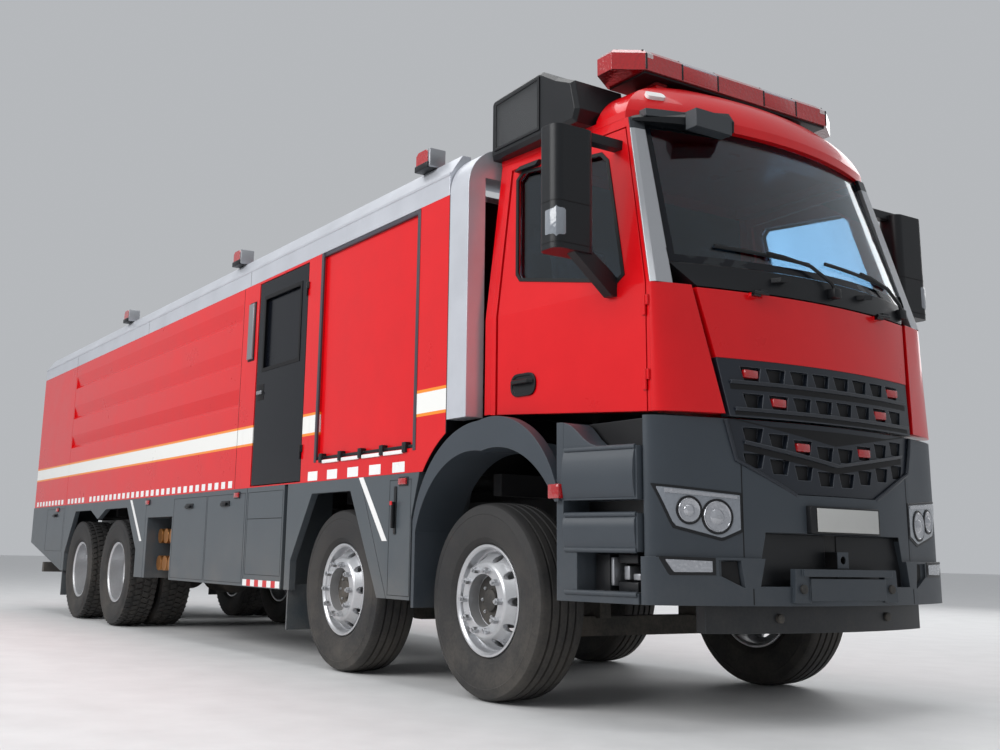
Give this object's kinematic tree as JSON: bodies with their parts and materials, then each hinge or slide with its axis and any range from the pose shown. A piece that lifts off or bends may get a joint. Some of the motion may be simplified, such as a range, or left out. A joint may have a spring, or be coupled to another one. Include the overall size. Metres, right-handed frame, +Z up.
{
  "type": "airport fire truck",
  "caption": "Heavy cab-over fire truck with steered front axles, twin drive axles, pump room, water tank body, roof monitor and opening doors.",
  "frame": {"origin": "on the ground under the middle of the vehicle's length, on its centre line", "axes": "+X forward, +Y to the vehicle's left, +Z up"},
  "size_m": [11.7, 2.9436, 3.5448],
  "materials": {
    "chassis_frame": "satin",
    "frame_members": "satin",
    "axle_beams": "matte",
    "driveline": "satin",
    "cab_tub": "gloss",
    "cab_side_frames": "gloss",
    "cab_roof": "gloss",
    "windscreen": "gloss",
    "cab_trim": "satin",
    "dashboard": "matte",
    "seats": "matte",
    "light_bar": "gloss",
    "bumper": "satin",
    "lower_grille": "satin",
    "headlamps": "gloss",
    "flap_panel": "gloss",
    "upper_grille": "satin",
    "steps_fenders": "satin",
    "roof_rails": "satin",
    "front_body": "gloss",
    "roller_shutters": "gloss",
    "pump_cabin": "gloss",
    "tank_body": "gloss",
    "rear_body": "gloss",
    "roof_deck": "brushed",
    "monitor_turntable": "gloss",
    "monitor_barrel": "gloss",
    "marker_lamps": "gloss",
    "side_lockers": "satin",
    "arch_panels": "satin",
    "hose_couplings": "satin",
    "cab_door_right": "gloss",
    "cab_window_right": "gloss",
    "mirror_right": "satin",
    "pump_door_right": "gloss",
    "knuckle_1_right": "matte",
    "tyre_1_right": "matte",
    "rim_1_right": "satin",
    "knuckle_2_right": "matte",
    "tyre_2_right": "matte",
    "rim_2_right": "satin",
    "tyres_3_right": "matte",
    "rims_3_right": "satin",
    "tyres_4_right": "matte",
    "rims_4_right": "satin",
    "cab_door_left": "gloss",
    "cab_window_left": "gloss",
    "mirror_left": "satin",
    "pump_door_left": "gloss",
    "knuckle_1_left": "matte",
    "tyre_1_left": "matte",
    "rim_1_left": "satin",
    "knuckle_2_left": "matte",
    "tyre_2_left": "matte",
    "rim_2_left": "satin",
    "tyres_3_left": "matte",
    "rims_3_left": "satin",
    "tyres_4_left": "matte",
    "rims_4_left": "satin"
  },
  "bodies": {
    "chassis": {"chassis_frame": "chassis_frame", "frame_members": "frame_members", "axle_beams": "axle_beams", "driveline": "driveline", "cab_tub": "cab_tub", "cab_side_frames": "cab_side_frames", "cab_roof": "cab_roof", "windscreen": "windscreen", "cab_trim": "cab_trim", "dashboard": "dashboard", "seats": "seats", "light_bar": "light_bar", "bumper": "bumper", "lower_grille": "lower_grille", "headlamps": "headlamps", "steps_fenders": "steps_fenders", "roof_rails": "roof_rails", "front_body": "front_body", "roller_shutters": "roller_shutters", "pump_cabin": "pump_cabin", "tank_body": "tank_body", "rear_body": "rear_body", "roof_deck": "roof_deck", "marker_lamps": "marker_lamps", "side_lockers": "side_lockers", "arch_panels": "arch_panels", "hose_couplings": "hose_couplings"},
    "front_flap": {"flap_panel": "flap_panel", "upper_grille": "upper_grille"},
    "monitor_head": {"monitor_turntable": "monitor_turntable"},
    "monitor_gun": {"monitor_barrel": "monitor_barrel"},
    "right_cab_door": {"cab_door_right": "cab_door_right", "cab_window_right": "cab_window_right", "mirror_right": "mirror_right"},
    "right_pump_door": {"pump_door_right": "pump_door_right"},
    "knuckle_1_right_body": {"knuckle_1_right": "knuckle_1_right"},
    "wheel_1_right": {"tyre_1_right": "tyre_1_right", "rim_1_right": "rim_1_right"},
    "knuckle_2_right_body": {"knuckle_2_right": "knuckle_2_right"},
    "wheel_2_right": {"tyre_2_right": "tyre_2_right", "rim_2_right": "rim_2_right"},
    "wheel_3_right": {"tyres_3_right": "tyres_3_right", "rims_3_right": "rims_3_right"},
    "wheel_4_right": {"tyres_4_right": "tyres_4_right", "rims_4_right": "rims_4_right"},
    "left_cab_door": {"cab_door_left": "cab_door_left", "cab_window_left": "cab_window_left", "mirror_left": "mirror_left"},
    "left_pump_door": {"pump_door_left": "pump_door_left"},
    "knuckle_1_left_body": {"knuckle_1_left": "knuckle_1_left"},
    "wheel_1_left": {"tyre_1_left": "tyre_1_left", "rim_1_left": "rim_1_left"},
    "knuckle_2_left_body": {"knuckle_2_left": "knuckle_2_left"},
    "wheel_2_left": {"tyre_2_left": "tyre_2_left", "rim_2_left": "rim_2_left"},
    "wheel_3_left": {"tyres_3_left": "tyres_3_left", "rims_3_left": "rims_3_left"},
    "wheel_4_left": {"tyres_4_left": "tyres_4_left", "rims_4_left": "rims_4_left"}
  },
  "joints": [
    {"name": "flap_lift", "type": "hinge", "parent": "chassis", "child": "front_flap", "pos_m": [5.765, 0, 2.097], "axis": [0, -1, 0], "range_deg": [0, 70]},
    {"name": "monitor_yaw", "type": "hinge", "parent": "chassis", "child": "monitor_head", "pos_m": [1.63, 0, 3.07], "axis": [0, 0, 1], "range_deg": [-170, 170]},
    {"name": "monitor_pitch", "type": "hinge", "parent": "monitor_head", "child": "monitor_gun", "pos_m": [1.63, 0, 3.275], "axis": [0, -1, 0], "range_deg": [-10, 75]},
    {"name": "right_cab_door_swing", "type": "hinge", "parent": "chassis", "child": "right_cab_door", "pos_m": [5.564, -1.06219, 1.8], "axis": [0, 0, 1], "range_deg": [0, 75]},
    {"name": "right_pump_door_swing", "type": "hinge", "parent": "chassis", "child": "right_pump_door", "pos_m": [2.126, -1.26, 2], "axis": [0, 0, 1], "range_deg": [0, 95]},
    {"name": "steer_1_right", "type": "hinge", "parent": "chassis", "child": "knuckle_1_right_body", "pos_m": [4.37, -0.9, 0.53], "axis": [0, 0, 1], "range_deg": [-38, 38]},
    {"name": "roll_1_right", "type": "hinge", "parent": "knuckle_1_right_body", "child": "wheel_1_right", "pos_m": [4.37, -1.035, 0.53], "axis": [0, 1, 0], "continuous": true},
    {"name": "steer_2_right", "type": "hinge", "parent": "chassis", "child": "knuckle_2_right_body", "pos_m": [2.67, -0.9, 0.53], "axis": [0, 0, 1], "range_deg": [-28.5, 28.5]},
    {"name": "roll_2_right", "type": "hinge", "parent": "knuckle_2_right_body", "child": "wheel_2_right", "pos_m": [2.67, -1.035, 0.53], "axis": [0, 1, 0], "continuous": true},
    {"name": "roll_3_right", "type": "hinge", "parent": "chassis", "child": "wheel_3_right", "pos_m": [-2.23, -0.91, 0.53], "axis": [0, 1, 0], "continuous": true},
    {"name": "roll_4_right", "type": "hinge", "parent": "chassis", "child": "wheel_4_right", "pos_m": [-3.58, -0.91, 0.53], "axis": [0, 1, 0], "continuous": true},
    {"name": "left_cab_door_swing", "type": "hinge", "parent": "chassis", "child": "left_cab_door", "pos_m": [5.564, 1.06219, 1.8], "axis": [0, 0, -1], "range_deg": [0, 75]},
    {"name": "left_pump_door_swing", "type": "hinge", "parent": "chassis", "child": "left_pump_door", "pos_m": [2.126, 1.26, 2], "axis": [0, 0, -1], "range_deg": [0, 95]},
    {"name": "steer_1_left", "type": "hinge", "parent": "chassis", "child": "knuckle_1_left_body", "pos_m": [4.37, 0.9, 0.53], "axis": [0, 0, 1], "range_deg": [-38, 38]},
    {"name": "roll_1_left", "type": "hinge", "parent": "knuckle_1_left_body", "child": "wheel_1_left", "pos_m": [4.37, 1.035, 0.53], "axis": [0, 1, 0], "continuous": true},
    {"name": "steer_2_left", "type": "hinge", "parent": "chassis", "child": "knuckle_2_left_body", "pos_m": [2.67, 0.9, 0.53], "axis": [0, 0, 1], "range_deg": [-28.5, 28.5]},
    {"name": "roll_2_left", "type": "hinge", "parent": "knuckle_2_left_body", "child": "wheel_2_left", "pos_m": [2.67, 1.035, 0.53], "axis": [0, 1, 0], "continuous": true},
    {"name": "roll_3_left", "type": "hinge", "parent": "chassis", "child": "wheel_3_left", "pos_m": [-2.23, 0.91, 0.53], "axis": [0, 1, 0], "continuous": true},
    {"name": "roll_4_left", "type": "hinge", "parent": "chassis", "child": "wheel_4_left", "pos_m": [-3.58, 0.91, 0.53], "axis": [0, 1, 0], "continuous": true}
  ],
  "couplings": [
    {"joint": "steer_2_right", "follows": "steer_1_right", "ratio": 0.75},
    {"joint": "steer_1_left", "follows": "steer_1_right", "ratio": 1},
    {"joint": "steer_2_left", "follows": "steer_1_right", "ratio": 0.75}
  ]
}
